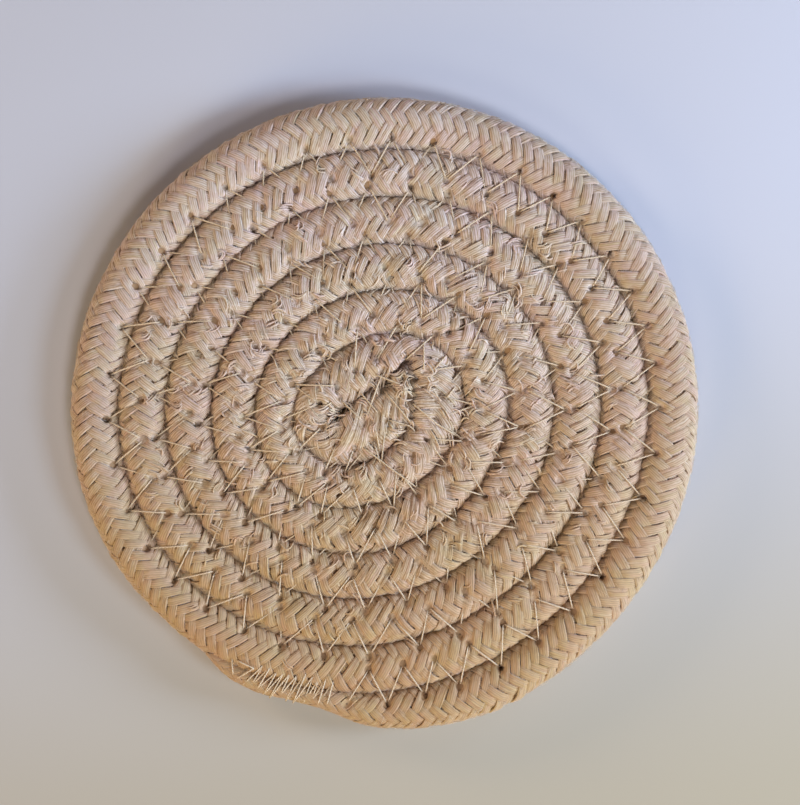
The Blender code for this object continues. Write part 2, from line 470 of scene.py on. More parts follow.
def oversewn_holes():
    """The places of the needle holes that hold the rope's end down, in order."""
    first, last = np.interp(OVERSEWN, ROPE_TURNS, ROPE_S)
    count = int((last - first) / OVERSEW_STEP)
    s = np.linspace(first, last, count) + rng.normal(0.0, OVERSEW_STRAY[0], count)
    is_outer = np.arange(count) % 2 == 0
    s -= np.where(is_outer, 0.0, OVERSEW_SLANT)
    reach = np.where(is_outer, OVERSEW_OUTER, -OVERSEW_INNER)
    reach = reach + rng.normal(0.0, OVERSEW_STRAY[1], count)
    return seam_place(s, reach)


HOLES, HOLE_IS_OUTER = stitch_holes()
OVERSEWN_HOLES = oversewn_holes()
HOLE_OPENNESS = np.interp(np.linalg.norm(HOLES, axis=1), *zip(OPENNESS_FROM, OPENNESS_TO))

FIELD_HALF = 60.0 * MM
FIELD_CELL = 0.12 * MM
FIELD_SIDE = int(2 * FIELD_HALF / FIELD_CELL) + 1


def stamp(field, low, high, values):
    """Adds values(x, y) to the cells of the field between two corners."""
    i0, j0 = np.floor((np.asarray(low) + FIELD_HALF) / FIELD_CELL).astype(int)
    i1, j1 = np.ceil((np.asarray(high) + FIELD_HALF) / FIELD_CELL).astype(int)
    x = np.arange(i0, i1 + 1) * FIELD_CELL - FIELD_HALF
    y = np.arange(j0, j1 + 1) * FIELD_CELL - FIELD_HALF
    added = values(x[:, None], y[None, :])
    field[..., i0 : i1 + 1, j0 : j1 + 1] += added


def press_field():
    """Over the mat's plan: how far the surface is pressed in and pushed sideways."""
    field = np.zeros((3, FIELD_SIDE, FIELD_SIDE))
    parting, parting_radius = PARTING
    hole_reach, thread_reach = PRESS_REACH
    for hole, is_outer, openness in zip(HOLES, HOLE_IS_OUTER, HOLE_OPENNESS):
        pit, pit_radius = OUTER_PIT if is_outer else INNER_PIT
        dish, dish_radius = OUTER_DISH if is_outer else INNER_DISH
        pit *= rng.uniform(0.7, 1.2) * openness
        dish *= rng.uniform(0.6, 1.3)

        def hole_shape(x, y):
            dx, dy = x - hole[0], y - hole[1]
            r = np.hypot(dx, dy) + 1e-9
            down = pit * bump(r, 0.0, pit_radius) + dish * bump(r, 0.0, dish_radius)
            aside = parting * (r / parting_radius) * np.exp(0.5 - 0.5 * (r / parting_radius) ** 2)
            return np.stack([down, aside * dx / r, aside * dy / r])

        stamp(field, hole - hole_reach, hole + hole_reach, hole_shape)
    for a, b in zip(HOLES[:-1], HOLES[1:]):
        span = b - a
        length = np.linalg.norm(span)

        def groove(x, y):
            t = np.clip(((x - a[0]) * span[0] + (y - a[1]) * span[1]) / length**2, 0.0, 1.0)
            r = np.hypot(x - a[0] - t * span[0], y - a[1] - t * span[1])
            down = sum(depth * bump(r, 0.0, radius) for depth, radius in (THREAD_CUT, THREAD_DISH))
            still = np.zeros_like(down)
            return np.stack([down, still, still])

        stamp(field, np.minimum(a, b) - thread_reach, np.maximum(a, b) + thread_reach, groove)
    return field


PRESS = press_field()
# How strong each needle hole's painted shade is
OUTER_DARKNESS = rng.uniform(0.5, 1.0, len(HOLES))
INNER_DARKNESS = rng.uniform(0.0, 0.5, len(HOLES))
HOLE_DARKNESS = HOLE_OPENNESS * np.where(HOLE_IS_OUTER, OUTER_DARKNESS, INNER_DARKNESS)
HOLE_TREE = kdtree.KDTree(len(HOLES))
for index, hole in enumerate(HOLES):
    HOLE_TREE.insert((*hole, 0.0), index)
HOLE_TREE.balance()


def from_hole(points):
    """At each point: the way to it from the nearest needle hole in mm, and the strength of that hole's
    painted shade.
    """
    result = np.zeros((len(points), 3))
    for row, (x, y, _) in zip(result, points):
        place, index, distance = HOLE_TREE.find((x, y, 0.0))
        if distance < HOLE_SHADE_REACH:
            fading = min(1.0, (HOLE_SHADE_REACH - distance) / HOLE_SHADE_FADE)
            row[:] = (x - place.x) / MM, (y - place.y) / MM, HOLE_DARKNESS[index] * fading
    return result


def read_field(field, x, y):
    """Values of a field over the plan, blended between its cells."""
    u = np.clip((x + FIELD_HALF) / FIELD_CELL, 0, FIELD_SIDE - 1.001)
    v = np.clip((y + FIELD_HALF) / FIELD_CELL, 0, FIELD_SIDE - 1.001)
    i, j = u.astype(int), v.astype(int)
    s, t = u - i, v - j
    low = field[..., i, j] * (1 - s) + field[..., i + 1, j] * s
    high = field[..., i, j + 1] * (1 - s) + field[..., i + 1, j + 1] * s
    return low * (1 - t) + high * t


def pressed(points):
    """The points as the stitches move them: down and aside above, up and aside below."""
    x, y, z = np.moveaxis(points, -1, 0)
    down, aside_x, aside_y = read_field(PRESS, x, y)
    share = z / MAT_THICKNESS
    upper = smooth_step((share - 0.35) / 0.4)
    lower = PRESSED_UNDER * smooth_step((0.65 - share) / 0.4)
    aside = upper + lower
    return np.stack([x + aside_x * aside, y + aside_y * aside, z - down * upper + down * lower], -1)


# -------------------- meshes
# How a tube lies in its cell of the map OFBake, in shares of the cell
ROW_MARGIN = (0.004, 0.04)
ROW_FILL = (0.97, 0.92)
END_CENTRE = np.array([0.988, 0.3])
END_HALF_SIZE = np.array([0.008, 0.02])
END_SPACING = np.array([0.0, 0.4])


def tube_arrays(rings, turns_round, bake_rows, cell):
    """A closed tube of rings of points, with flat ends: its loops, face starts and two maps.

    The first map lays the tube out in bake_rows rows within its cell (u, v, width, height) of the
    square. The second holds turns_round, a number at each point of a ring, and the length along the
    tube in millimetres.
    """
    count, sides = rings.shape[:2]
    lengths = lengths_along(rings.mean(1))
    ring = np.arange(count - 1)[:, None] * sides
    side = np.arange(sides)[None, :]
    following = (side + 1) % sides
    quads = np.stack([ring + side, ring + following, ring + sides + following, ring + sides + side], -1)
    ends = np.concatenate([np.arange(sides)[::-1], (count - 1) * sides + np.arange(sides)])
    loops = np.concatenate([quads.reshape(-1), ends])
    faces = (count - 1) * sides
    starts = np.concatenate([np.arange(faces) * 4, [faces * 4, faces * 4 + sides]])

    around = lengths_along(np.vstack([rings[0], rings[0, :1]]))
    around /= around[-1]
    row_length = lengths[-1] / bake_rows * 1.0001
    row = np.floor(lengths[:-1] / row_length)
    quad_length = np.stack([lengths[:-1], lengths[:-1], lengths[1:], lengths[1:]], -1)
    quad_u = (quad_length - (row * row_length)[:, None]) / row_length
    quad_u = quad_u * ROW_FILL[0] + ROW_MARGIN[0]
    quad_v = np.stack([around[:-1], around[1:], around[1:], around[:-1]], -1)
    bake = np.zeros((count - 1, sides, 4, 2))
    bake[..., 0] = quad_u[:, None, :]
    bake[..., 1] = (row[:, None, None] + ROW_MARGIN[1] + ROW_FILL[1] * quad_v[None]) / bake_rows
    turn = np.arange(sides) / sides * math.tau
    end_bake = END_CENTRE + END_HALF_SIZE * np.stack([np.cos(turn), np.sin(turn)], -1)
    bake = np.vstack([bake.reshape(-1, 2), end_bake, end_bake + END_SPACING])
    bake = np.array(cell[:2]) + bake * cell[2:]

    yarn = np.zeros((count - 1, sides, 4, 2))
    before, after = turns_round[:-1], turns_round[1:]
    yarn[..., 0] = np.stack([before, after, after, before], -1)[None]
    yarn[..., 1] = quad_length[:, None, :] / MM
    end_yarn = np.full((2 * sides, 2), 0.5)
    end_yarn[:, 1] = np.repeat([lengths[0], lengths[-1]], sides) / MM
    return loops, starts, bake, np.vstack([yarn.reshape(-1, 2), end_yarn])


def tube_mesh(name, tubes, turns_round, bake_rows=1, press=True):
    """One mesh of closed tubes, each an array of rings, with the maps OFBake and Yarn.

    The tubes are given as they would lie without the stitches, unless press is False.
    """
    columns = math.ceil(math.sqrt(len(tubes)))
    rows = math.ceil(len(tubes) / columns)
    parts = []
    for k, rings in enumerate(tubes):
        cell = ((k % columns) / columns, (k // columns) / rows, 1.0 / columns, 1.0 / rows)
        parts.append(tube_arrays(rings, turns_round + k, bake_rows, cell))
    point_counts = [rings.shape[0] * rings.shape[1] for rings in tubes]
    first_points = np.concatenate([[0], np.cumsum(point_counts)[:-1]])
    first_loops = np.concatenate([[0], np.cumsum([len(part[0]) for part in parts])[:-1]])
    loops = np.concatenate([part[0] + first for part, first in zip(parts, first_points)])
    starts = np.concatenate([part[1] + first for part, first in zip(parts, first_loops)])
    points = np.vstack([rings.reshape(-1, 3) for rings in tubes])
    holes = from_hole(points)
    if press:
        points = pressed(points)
    mesh = bpy.data.meshes.new(name)
    mesh.vertices.add(len(points))
    mesh.vertices.foreach_set("co", points.reshape(-1).astype(np.float32))
    mesh.loops.add(len(loops))
    mesh.loops.foreach_set("vertex_index", loops.astype(np.int32))
    mesh.polygons.add(len(starts))
    mesh.polygons.foreach_set("loop_start", starts.astype(np.int32))
    for index, label in ((2, "OFBake"), (3, "Yarn")):
        uv = np.vstack([part[index] for part in parts])
        mesh.uv_layers.new(name=label).data.foreach_set("uv", uv.reshape(-1).astype(np.float32))
    mesh.attributes.new("hole", "FLOAT_VECTOR", "POINT").data.foreach_set("vector", holes.reshape(-1))
    mesh.update(calc_edges=True)
    mesh.validate()
    mesh.shade_smooth()
    return mesh


def placed(name, data):
    """A new object in the scene."""
    made = bpy.data.objects.new(name, data)
    bpy.context.scene.collection.objects.link(made)
    return made


def piece(name, mesh, material):
    """An object that rides on the part, with the material given to it."""
    made = placed(name, mesh)
    made.data.materials.append(material)
    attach(made, "root")
    return made


# -------------------- materials
class Nodes:
    """A small helper that adds shader nodes and joins them."""

    def __init__(self, name):
        self.material = bpy.data.materials.new(name)
        self.material.use_nodes = True
        self.tree = self.material.node_tree
        self.shader = self.tree.nodes["Principled BSDF"]

    def put(self, socket, value):
        if isinstance(value, bpy.types.NodeSocket):
            self.tree.links.new(value, socket)
        else:
            socket.default_value = value

    def fill(self, node, **values):
        """Sets a node's inputs by name."""
        for key, value in values.items():
            self.put(node.inputs[key.replace("_", " ")], value)

    def add(self, kind, settings=None, **values):
        node = self.tree.nodes.new("ShaderNode" + kind)
        for key, value in (settings or {}).items():
            setattr(node, key, value)
        self.fill(node, **values)
        return node

    def math(self, operation, a, b=0.0):
        node = self.add("Math", {"operation": operation})
        self.put(node.inputs[0], a)
        self.put(node.inputs[1], b)
        return node.outputs[0]

    def plus(self, a, b):
        return self.math("ADD", a, b)

    def minus(self, a, b):
        return self.math("SUBTRACT", a, b)

    def times(self, a, b):
        return self.math("MULTIPLY", a, b)

    def mix(self, share, a, b, blend="MIX"):
        node = self.add("Mix", {"data_type": "RGBA", "blend_type": blend})
        for index, value in ((0, share), (6, a), (7, b)):
            self.put(node.inputs[index], value)
        return node.outputs[2]

    def tinted(self, colour, tint):
        return self.mix(1.0, colour, tint, "MULTIPLY")

    def ramp(self, share, low, high):
        """0 at low, 1 at high."""
        node = self.add("MapRange", {"interpolation_type": "SMOOTHSTEP"})
        for socket, value in zip(node.inputs, (share, low, high, 0.0, 1.0)):
            self.put(socket, value)
        return node.outputs[0]


COTTON = (0.68, 0.52, 0.39, 1.0)
COTTON_PINK = (0.665, 0.46, 0.38, 1.0)
COTTON_STRAW = (0.645, 0.515, 0.33, 1.0)
COTTON_PALE = (0.75, 0.64, 0.53, 1.0)
# Painted shade, for the creases within and between the yarns and round the needle holes
COTTON_SHADE = (0.37, 0.24, 0.145, 1.0)
# Painted shade at the bottom of the needle holes
HOLE_SHADE = (0.055, 0.034, 0.022, 1.0)
# The core is coloured darker than the cotton: painted shade for the gaps between the strands
CORE_DARK = (0.34, 0.215, 0.13, 1.0)
CORE_PALE = (0.47, 0.31, 0.19, 1.0)
THREAD_CREAM = (0.76, 0.62, 0.47, 1.0)
# Painted shade in the grooves between the thread's plies
THREAD_SHADE = (0.48, 0.36, 0.25, 1.0)
# The floor's painted light: cool and bright towards the top, warm and dimmer towards the lower right
FLOOR_COOL_LIGHT = (0.575, 0.595, 0.71, 1.0)
FLOOR_WARM_LIGHT = (0.445, 0.40, 0.32, 1.0)
# Painted light: the cotton is tinted greyer and lighter towards the top of the mat, as under cool
# light, and warmer and darker towards its bottom, as under warm light
TOP_COOL_LIGHT_TINT = (1.16, 1.28, 1.60, 1.0)
LOWER_WARM_LIGHT_TINT = (0.93, 0.845, 0.66, 1.0)
TOP_Y, LOWER_Y = 0.055, -0.055
# It is tinted paler in the middle than on the rim: painted light that lifts the shade of the middle
# turns
MIDDLE_LIFT_LIGHT_TINT = (1.00, 1.025, 1.045, 1.0)
RIM_TINT = (0.87, 0.85, 0.82, 1.0)
MIDDLE_RADIUS, RIM_RADIUS = 0.004, 0.052
# Painted reflection: the rim at the upper right is tinted warmer, as by a warm reflection
CORNER_REFLECTION_TINT = (0.90, 0.86, 0.80, 1.0)
CORNER_X, CORNER_Y = 0.82, 0.57
CORNER_FROM, CORNER_TO = 0.034, 0.054
# Painted shade in and between its yarns is stronger within the first radius than beyond the second
FULL_CREASE_SHADE_RADIUS, FADED_CREASE_SHADE_RADIUS = 0.024, 0.046
SHEEN_TINT = (0.92, 0.90, 0.92, 1.0)
THREAD_PLIES = 3


def cotton_material(name):
    """Soft spun cotton yarns, each with its own tint, darker where they meet."""
    n = Nodes(name)
    uv = n.add("UVMap", {"uv_map": "Yarn"}).outputs[0]
    across, length, _ = n.add("SeparateXYZ", Vector=uv).outputs
    chance = n.add("ObjectInfo").outputs["Random"]

    def streaks(along_scale, across_scale, seed, detail):
        at = n.add(
            "CombineXYZ",
            X=n.times(length, along_scale),
            Y=n.times(across, across_scale),
            Z=n.times(chance, seed),
        )
        return n.add("TexNoise", Vector=at.outputs[0], Scale=1.0, Detail=detail, Roughness=0.6)

    # The yarns wander, so the lines between them do
    sway = streaks(0.55, 0.6, 70.0, 1.0).outputs["Fac"]
    across = n.plus(across, n.minus(sway, 0.5))
    yarn = n.math("FLOOR", across)
    inside = n.minus(n.math("FRACT", across), 0.5)
    edge = n.ramp(n.math("ABSOLUTE", inside), 0.16, 0.48)

    tone_at = n.add(
        "CombineXYZ",
        X=n.times(length, 0.09),
        Y=n.times(yarn, 1.7),
        Z=n.times(chance, 85.0),
    )
    tone = n.add("TexNoise", Vector=tone_at.outputs[0], Scale=1.0, Detail=2.0)
    pink, straw, pale = n.add("SeparateColor", Color=tone.outputs["Color"]).outputs
    base = n.mix(n.ramp(pink, 0.50, 0.72), COTTON, COTTON_PINK)
    base = n.mix(n.ramp(straw, 0.52, 0.72), base, COTTON_STRAW)
    base = n.mix(n.times(n.ramp(pale, 0.50, 0.75), 0.8), base, COTTON_PALE)
    place = n.add("TexCoord").outputs["Object"]
    for scale, share in ((75.0, 0.5), (260.0, 0.6)):
        patch = n.add("TexNoise", Vector=place, Scale=scale, Detail=2.0)
        pink, straw, _ = n.add("SeparateColor", Color=patch.outputs["Color"]).outputs
        base = n.mix(n.times(n.ramp(pink, 0.50, 0.66), share), base, COTTON_PINK)
        base = n.mix(n.times(n.ramp(straw, 0.52, 0.68), share), base, COTTON_STRAW)

    # Painted light in the tints of the mat's sides, its middle and its rim, and a painted warm
    # reflection at its upper right
    x, y, _ = n.add("SeparateXYZ", Vector=place).outputs
    base = n.mix(n.ramp(y, TOP_Y, LOWER_Y), n.tinted(base, TOP_COOL_LIGHT_TINT), n.tinted(base, LOWER_WARM_LIGHT_TINT))
    plan = n.add("CombineXYZ", X=x, Y=y).outputs[0]
    radius = n.add("VectorMath", {"operation": "LENGTH"}, Vector=plan).outputs["Value"]
    # Painted light: the middle is lifted paler than the rim
    base = n.tinted(base, n.mix(n.ramp(radius, MIDDLE_RADIUS, RIM_RADIUS), MIDDLE_LIFT_LIGHT_TINT, RIM_TINT))
    # Painted reflection: warmer on the rim at the upper right
    to_corner = n.plus(n.times(x, CORNER_X), n.times(y, CORNER_Y))
    in_corner_reflection = n.ramp(to_corner, CORNER_FROM, CORNER_TO)
    base = n.mix(in_corner_reflection, base, n.tinted(base, CORNER_REFLECTION_TINT))

    # Painted shade: dark lines within the yarns and in the creases between them
    crease_shade_fading = n.ramp(radius, FULL_CREASE_SHADE_RADIUS, FADED_CREASE_SHADE_RADIUS)
    slub = streaks(1.4, 3.5, 144.0, 3.0).outputs["Fac"]
    slub_share = n.minus(0.72, n.times(crease_shade_fading, 0.34))
    base = n.mix(n.times(n.ramp(slub, 0.58, 0.30), slub_share), base, COTTON_SHADE)
    depth = n.plus(n.times(sway, 1.1), 0.34)
    depth = n.minus(depth, n.times(crease_shade_fading, 0.14))
    base = n.mix(n.times(edge, depth), base, COTTON_SHADE)

    # Painted shade in and around the needle holes
    hole = n.add("Attribute", {"attribute_name": "hole"}).outputs["Vector"]
    hole_x, hole_y, darkness = n.add("SeparateXYZ", Vector=hole).outputs
    squares = [n.math("POWER", n.math("ABSOLUTE", way), 2.0) for way in (hole_x, hole_y)]
    distance = n.math("SQRT", n.plus(*squares))
    ragged = n.plus(distance, n.times(n.minus(slub, 0.5), 0.35))
    shade = n.times(n.ramp(ragged, 0.30, 0.02), darkness)
    around = n.times(n.ramp(ragged, 0.75, 0.10), darkness)
    base = n.mix(n.times(around, 0.40), base, COTTON_SHADE)
    base = n.mix(shade, base, HOLE_SHADE)

    twist = n.plus(n.times(length, 13.0), n.times(across, 7.0))
    height = n.plus(n.times(n.math("SINE", twist), 0.25), slub)
    surface = n.add("Bump", Height=height, Strength=0.45, Distance=0.08 * MM)
    n.fill(n.shader, Base_Color=base, Normal=surface.outputs[0])
    n.fill(n.shader, Roughness=0.93, Specular_IOR_Level=0.18)
    n.fill(n.shader, Sheen_Weight=0.40, Sheen_Roughness=0.4, Sheen_Tint=SHEEN_TINT)
    return n.material


def core_material():
    """The rope's core, coloured darker than the cotton as painted shade, since it shows only in the
    gaps between the strands.
    """
    n = Nodes("rope_core")
    place = n.add("TexCoord").outputs["Object"]
    speck = n.add("TexNoise", Vector=place, Scale=1500.0, Detail=3.0).outputs["Fac"]
    base = n.mix(speck, CORE_DARK, CORE_PALE)
    n.fill(n.shader, Base_Color=base, Roughness=0.95, Specular_IOR_Level=0.1)
    return n.material


def thread_material():
    """Three-ply sewing thread, smoother and paler than the rope."""
    n = Nodes("sewing_thread")
    uv = n.add("UVMap", {"uv_map": "Yarn"}).outputs[0]
    turn, length, _ = n.add("SeparateXYZ", Vector=uv).outputs
    turned = n.times(turn, math.tau * THREAD_PLIES)
    ply = n.math("SINE", n.plus(n.times(length, 9.0), turned))
    # Painted shade in the grooves between the plies
    base = n.mix(n.ramp(ply, -1.0, 0.2), THREAD_SHADE, THREAD_CREAM)
    surface = n.add("Bump", Height=ply, Strength=0.4, Distance=0.05 * MM)
    n.fill(n.shader, Base_Color=base, Normal=surface.outputs[0])
    n.fill(n.shader, Roughness=0.75, Specular_IOR_Level=0.3)
    return n.material


# -------------------- the rope's core and strands
def braid_turn(s):
    """How far the whole braid is turned about the rope, at length s."""
    return np.radians(by_turns(BRAID_TWIST, s))


def core_mesh():
    """The rope's core, inside the strands."""
    s = np.arange(0.4 * MM, ROPE_LENGTH - 0.3 * MM, CORE_STEP)
    angle = np.linspace(0.0, math.tau, CORE_SIDES, endpoint=False)
    s_grid, angle_grid = np.meshgrid(s, angle, indexing="ij")
    at_fold = bump(along(ROPE_TURNS, s_grid), FOLD_TURN, FOLD_CORE_HALF_WIDTH)
    rings = on_rope(s_grid, angle_grid, CORE_DEPTH + (FOLD_CORE_DEPTH - CORE_DEPTH) * at_fold)
    return tube_mesh("rope_core", [rings], np.linspace(0, CORE_SIDES, CORE_SIDES + 1), CORE_BAKE_ROWS)


# Rows along a strand in each period of two over and two under: (place, kept on the underside too)
ROW_PLACES = (
    (0.00, True), (0.25, True), (0.50, False), (0.75, False),
    (1.00, True), (1.25, False), (1.50, False), (1.75, True),
    (2.00, True), (2.45, False), (3.00, True), (3.60, False),
)
FINE_ABOVE = 0.35  # share of the section's half height above which every row is kept


def strand_rows(start, first, last):
    """Places along a strand between first and last, in strand crossings, and which are always kept."""
    periods = np.arange(math.floor((first - start) / 4) - 1, math.ceil((last - start) / 4) + 1)
    places = np.array([place for place, _ in ROW_PLACES])
    kept = np.array([keep for _, keep in ROW_PLACES])
    rows = (start + periods[:, None] * 4 + places[None]).reshape(-1)
    kept = np.tile(kept, len(periods))
    inside = (rows > first) & (rows < last)
    return rows[inside], kept[inside]


def strand_mesh(name, winding, index):
    """One strand. winding is 1 if it climbs towards the inner side along the rope, else -1."""
    per_crossing = LAY / (2 * STRANDS_EACH_WAY)
    middle = index + 0.5
    over_from = (-index) % 4 if winding > 0 else (2 - index) % 4
    if winding > 0:
        rows, kept = strand_rows(over_from, middle, middle + ROPE_LENGTH / per_crossing)
    else:
        rows, kept = strand_rows(over_from, middle - ROPE_LENGTH / per_crossing, middle)
        rows, kept = rows[::-1], kept[::-1]
    s = winding * (rows - middle) * per_crossing
    angle = (rows + middle) * math.pi / STRANDS_EACH_WAY
    keep = kept | (section(angle + braid_turn(s))[1] > FINE_ABOVE)
    rows = rows[keep]
    s = s[keep]

    loose = by_turns(LOOSENESS, s)
    level = np.clip(WEAVE_STEEPNESS * np.sin(math.pi / 2.0 * (rows - over_from)), -1.0, 1.0)
    shift = loose * wander(*STRAND_SHIFT)(s)
    width = STRAND_SHARE * (1.0 + loose * wander(*STRAND_WIDTH)(s))
    lift = loose * wander(*STRAND_LIFT)(s)
    v = np.linspace(-1.0, 1.0, 2 * YARNS + 1)
    crest = np.zeros((len(rows), 2 * YARNS + 1))
    place = np.tile(v, (len(rows), 1))
    for k in range(YARNS):
        crest[:, 2 * k + 1] = YARN_CREST * (1.0 + loose * wander(*YARN_HEIGHT)(s))
        place[:, 2 * k + 1] += loose * wander(*YARN_SHIFT)(s)
    crest[:, [0, -1]] -= STRAND_EDGE_DROP
    rise = crest + STRAND_CROWN * (1.0 - v**2)
    sideways = middle + shift[:, None] + place * width[:, None] / 2.0
    length = winding * (rows[:, None] - sideways) * per_crossing
    turn = (rows[:, None] + sideways) * math.pi / STRANDS_EACH_WAY
    depth = STRAND_DEPTH - level[:, None] * WEAVE_RISE - lift[:, None] - rise
    points = on_rope(length, turn + braid_turn(length), depth)
    across = np.concatenate([np.linspace(0, YARNS, 2 * YARNS + 1), [YARNS + 1.0]])
    return tube_mesh(name, [points], across, STRAND_BAKE_ROWS)


# -------------------- the sewing thread
RELIEF_CELL = 0.30 * MM
RELIEF_SIDE = int(2 * FIELD_HALF / RELIEF_CELL) + 1


def relief(objects, above):
    """The strands' highest (or lowest) point in each cell of the plan."""
    points = np.vstack([np.array([v.co for v in thing.data.vertices]) for thing in objects])
    i, j = np.round((points[:, :2] + FIELD_HALF) / RELIEF_CELL).astype(int).T
    half = MAT_THICKNESS / 2.0
    grid = np.full((RELIEF_SIDE, RELIEF_SIDE), half)
    if above:
        np.maximum.at(grid, (i, j), points[:, 2])
    else:
        np.minimum.at(grid, (i, j), points[:, 2])
    beside = [np.roll(grid, shift, (0, 1)) for shift in ((1, 0), (-1, 0), (0, 1), (0, -1))]
    return np.max([grid] + beside, axis=0) if above else np.min([grid] + beside, axis=0)


def taut(places, heights):
    """Heights of a string pulled tight over a profile: its upper hull."""
    hull = [0]
    for i in range(1, len(places)):
        while len(hull) > 1:
            a, b = hull[-2], hull[-1]
            climb_to_b = (heights[b] - heights[a]) * (places[i] - places[a])
            climb_to_i = (heights[i] - heights[a]) * (places[b] - places[a])
            if climb_to_b >= climb_to_i:
                break
            hull.pop()
        hull.append(i)
    return np.interp(places, places[hull], heights[hull])


def draped(plan, grid, side, lift, sunk_a, sunk_b):
    """The path of a thread pulled tight over the strands, lift above them, its ends sunk."""
    i, j = np.round((plan + FIELD_HALF) / RELIEF_CELL).astype(int).T
    height = side * (grid[i, j] - MAT_THICKNESS / 2.0) + lift
    height[0] -= sunk_a
    height[-1] -= sunk_b
    height = taut(lengths_along(plan), height)
    smooth = height.copy()
    smooth[1:-1] = (height[:-2] + 2 * height[1:-1] + height[2:]) / 4.0
    return np.column_stack([plan, MAT_THICKNESS / 2.0 + side * smooth])


def round_rings(path, radius, sides=6):
    """Rings round a path, each in a plane across it."""
    ahead = unit(np.gradient(path, axis=0))
    aside = unit(np.cross(ahead, [0.0, 0.0, 1.0]))
    down = np.cross(ahead, aside)
    angle = np.linspace(0.0, math.tau, sides, endpoint=False)
    across, up_down = np.cos(angle)[None, :, None], np.sin(angle)[None, :, None]
    return path[:, None] + (aside[:, None] * across + down[:, None] * up_down) * radius


def straight(a, b, step):
    """Points from a to b, about step apart."""
    count = max(6, int(np.linalg.norm(b - a) / step)) + 1
    return a + (b - a) * np.linspace(0.0, 1.0, count)[:, None]


def sewn_paths(holes, sunk, buried, grid, side, step):
    """The thread from each hole to the next; buried is how far each leg sinks into the cotton."""
    return [
        draped(straight(a, b, step), grid, side, THREAD_RADIUS * 0.5 - depth, sunk_a, sunk_b)
        for a, b, sunk_a, sunk_b, depth in zip(holes[:-1], holes[1:], sunk[:-1], sunk[1:], buried)
    ]


def sewing_thread_mesh(name, strands, side, step, sides):
    """All the thread that shows on one face of the mat."""
    grid = relief(strands, side > 0)
    count = len(HOLES)
    on_rim = np.arange(count) > RIM_HOLES_FROM * count
    buried = rng.uniform(0.0, THREAD_BURIED, count) * np.where(on_rim, RIM_BURIED, 1.0) * MM
    far_side = smooth_step((HOLES[:, 1] - HOLES[:, 0]) / FAR_SIDE_AT)
    hidden = rng.random(count) < HIDDEN_SHARE + FAR_SIDE_HIDDEN * far_side
    buried += hidden * np.where(on_rim, HIDDEN_DEPTH * far_side, HIDDEN_DEPTH) * MM
    sunk = np.where(HOLE_IS_OUTER, OUTER_SUNK, INNER_SUNK)
    paths = sewn_paths(HOLES, sunk, buried, grid, side, step)
    count = len(OVERSEWN_HOLES)
    buried = rng.uniform(*OVERSEWN_BURIED, count) * MM
    paths += sewn_paths(OVERSEWN_HOLES, np.full(count, OVERSEWN_SUNK), buried, grid, side, step)
    if side > 0:
        for corners in LOOSE_THREADS:
            corners = np.array(corners) * MM
            plan = np.vstack([straight(a, b, step) for a, b in zip(corners[:-1], corners[1:])])
            paths.append(draped(plan, grid, side, THREAD_RADIUS * 0.8, LOOSE_SUNK, LOOSE_SUNK))
    rings = [round_rings(path, THREAD_RADIUS, sides) for path in paths]
    return tube_mesh(name, rings, np.linspace(0.0, 1.0, sides + 1), press=False)


def loose_yarn_mesh(strands):
    """Yarns pulled out of the strands: short bows in small bunches, most near the folded start."""
    grid = relief(strands, True)
    rings = []
    t = np.linspace(-1.0, 1.0, 8)
    for s in RIM_START * rng.beta(*LOOSE_PLACES, LOOSE_BUNCHES):
        turn = math.pi * (rng.uniform(0.22, 0.78) if s > START_LENGTH else rng.uniform(0.15, 0.95))
        place, ahead = on_rope(np.array([s, s + 1.0 * MM]), np.array([turn, turn]), 0.0)[:, :2]
        ahead = unit(ahead - place)
        aside = np.array([-ahead[1], ahead[0]])
        slope = rng.choice([-1.0, 1.0]) * math.radians(rng.normal(*LOOSE_SLOPE_DEG))
        along_yarn = ahead * math.cos(slope) + aside * math.sin(slope)
        beside = np.array([-along_yarn[1], along_yarn[0]])
        half = rng.uniform(*LOOSE_HALF_LENGTH) * MM
        bend = rng.normal(0.0, LOOSE_BEND) * half
        for k in range(rng.integers(1, 4)):
            sideways = LOOSE_PITCH * k + rng.normal(0.0, 0.05) * MM
            shift = beside * sideways + along_yarn * rng.normal(0.0, 0.3) * MM
            bow = (bend + rng.normal(0.0, 0.12) * MM) * (1.0 - t**2)
            plan = place + shift + along_yarn * (half * t)[:, None] + beside * bow[:, None]
            lift = rng.uniform(*LOOSE_LIFT) * MM
            path = draped(plan, grid, 1, lift, LOOSE_END_SUNK, LOOSE_END_SUNK)
            rings.append(round_rings(path, rng.uniform(*LOOSE_RADIUS) * MM, 5))
    return tube_mesh("loose_yarns", rings, np.linspace(0.3, 0.7, 6), press=False)


